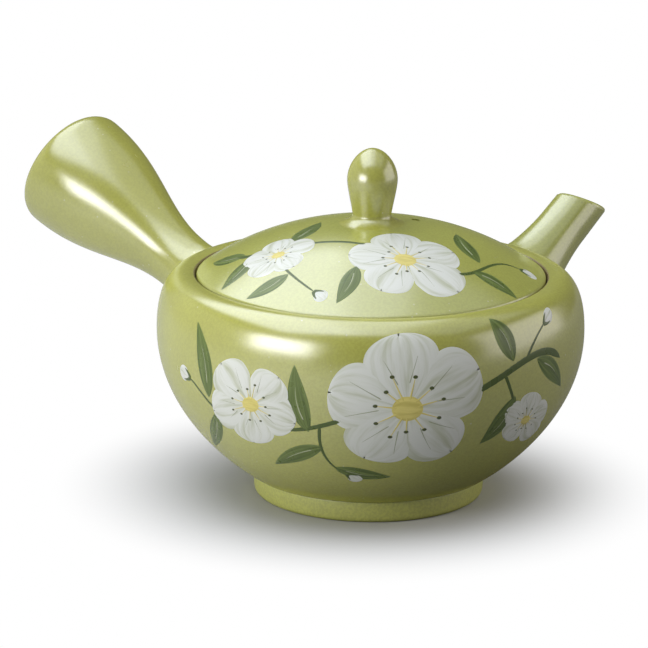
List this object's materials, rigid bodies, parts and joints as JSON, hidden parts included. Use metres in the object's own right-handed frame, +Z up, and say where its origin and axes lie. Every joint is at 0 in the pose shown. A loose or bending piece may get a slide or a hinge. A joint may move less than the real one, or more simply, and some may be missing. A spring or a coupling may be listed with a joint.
{
  "type": "kyusu teapot",
  "caption": "Side-handled clay teapot with a squat bowl on a foot ring, a short spout with an inner strainer, a hollow flared handle and a domed lid that lifts off.",
  "frame": {"origin": "on the pot's turning axis, in the plane of the table that the foot ring stands on", "axes": "+Z up along the turning axis, +X towards the spout; the handle stands out 97 degrees round from +X, towards +Y"},
  "size_m": [0.1533, 0.1764, 0.0965],
  "materials": {
    "clay": "satin",
    "foot_clay": "matte"
  },
  "bodies": {
    "pot": {"pot_body": "clay", "foot_ring": "foot_clay", "spout": "clay", "handle": "clay", "strainer": "clay"},
    "lid": {"lid": "clay", "knob": "clay"}
  },
  "joints": [
    {"name": "lid_lift", "type": "slide", "parent": "pot", "child": "lid", "axis": [0, 0, 1], "range_m": [0, 0.08]}
  ]
}
